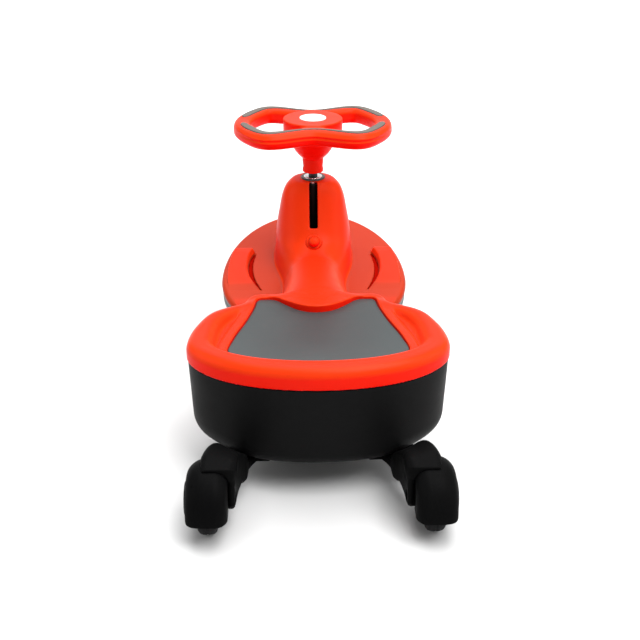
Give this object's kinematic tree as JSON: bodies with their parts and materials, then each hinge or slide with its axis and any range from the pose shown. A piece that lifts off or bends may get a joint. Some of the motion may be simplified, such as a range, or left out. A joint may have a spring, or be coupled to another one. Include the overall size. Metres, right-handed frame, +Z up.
{
  "type": "wiggle car",
  "caption": "Ride-on swing car: moulded seat and deck, a steering tower whose wheel turns a wheeled front yoke, hooded rear wheels and a press button.",
  "frame": {"origin": "on the floor, midway along and across the toy", "axes": "+Y is the driving direction, +X the rider's right, +Z up"},
  "size_m": [0.3484, 0.7574, 0.389],
  "materials": {
    "red_plastic": "satin moulded plastic, orange-red",
    "black_shell": "fine-grained moulded plastic",
    "black_carrier": "satin moulded plastic",
    "black_guide": "smooth moulded plastic",
    "gray_trim": "satin moulded plastic",
    "gray_panel": "fine-grained satin plastic",
    "gray_grip": "soft-touch inlay",
    "white_badge": "plain gloss disc",
    "dark_ring": "smooth moulded plastic",
    "bright_steel": "turned and polished",
    "steel": "zinc plated",
    "black_steel": "black painted",
    "tyre": "smooth polyurethane",
    "wheel_hub": "moulded plastic",
    "roller": "moulded plastic"
  },
  "bodies": {
    "chassis": {"upper_shell": "red_plastic", "seat_bucket": "black_shell", "front_pan": "black_shell", "deck_trim": "gray_trim", "seat_panel": "gray_panel", "column_tube": "black_guide", "collar_ring": "dark_ring", "top_bush": "bright_steel", "bottom_bush": "black_guide", "horn_bezel": "red_plastic", "horn_spring": "steel", "rear_arm_left": "black_carrier", "rear_arm_right": "black_carrier", "rear_fender_left": "black_carrier", "rear_fender_right": "black_carrier", "rear_axle_left": "black_steel", "rear_axle_right": "black_steel", "rear_axle_nuts": "black_steel", "shell_screws": "steel", "arm_screws": "steel"},
    "steering": {"steering_wheel": "red_plastic", "grip_near": "gray_grip", "grip_far": "gray_grip", "hub_badge": "white_badge", "steering_column": "black_steel", "neck_bolt": "steel", "column_washer": "steel", "column_nut": "steel", "front_yoke": "black_carrier", "front_fender_left": "black_carrier", "front_fender_right": "black_carrier", "front_axle": "steel", "front_axle_nuts": "steel", "safety_axle": "steel"},
    "horn": {"horn_button": "red_plastic"},
    "rear_wheel_left": {"rear_tyre_left": "tyre", "rear_hub_left": "wheel_hub", "rear_bearings_left": "bright_steel"},
    "rear_wheel_right": {"rear_tyre_right": "tyre", "rear_hub_right": "wheel_hub", "rear_bearings_right": "bright_steel"},
    "front_wheel_left": {"front_tyre_left": "tyre", "front_hub_left": "wheel_hub", "front_bearings_left": "bright_steel"},
    "front_wheel_right": {"front_tyre_right": "tyre", "front_hub_right": "wheel_hub", "front_bearings_right": "bright_steel"},
    "safety_roller_left": {"safety_wheel_left": "roller"},
    "safety_roller_right": {"safety_wheel_right": "roller"}
  },
  "joints": [
    {"name": "steer", "type": "hinge", "parent": "chassis", "child": "steering", "pos_m": [0, 0.19075, 0.2], "axis": [0, 0, 1], "continuous": true},
    {"name": "horn_press", "type": "slide", "parent": "chassis", "child": "horn", "axis": [0, 0.866, -0.5], "range_m": [0, 0.003], "stiffness_N_per_m": 400, "springref_m": -0.002, "deforming": ["horn_spring"]},
    {"name": "rear_spin_left", "type": "hinge", "parent": "chassis", "child": "rear_wheel_left", "pos_m": [-0.1415, -0.32825, 0.044], "axis": [1, 0, 0], "continuous": true},
    {"name": "rear_spin_right", "type": "hinge", "parent": "chassis", "child": "rear_wheel_right", "pos_m": [0.1415, -0.32825, 0.044], "axis": [1, 0, 0], "continuous": true},
    {"name": "front_spin_left", "type": "hinge", "parent": "steering", "child": "front_wheel_left", "pos_m": [-0.062, 0.30075, 0.044], "axis": [1, 0, 0], "continuous": true},
    {"name": "front_spin_right", "type": "hinge", "parent": "steering", "child": "front_wheel_right", "pos_m": [0.062, 0.30075, 0.044], "axis": [1, 0, 0], "continuous": true},
    {"name": "safety_spin_left", "type": "hinge", "parent": "steering", "child": "safety_roller_left", "pos_m": [-0.0165, 0.35675, 0.029], "axis": [1, 0, 0], "continuous": true},
    {"name": "safety_spin_right", "type": "hinge", "parent": "steering", "child": "safety_roller_right", "pos_m": [0.0165, 0.35675, 0.029], "axis": [1, 0, 0], "continuous": true}
  ]
}
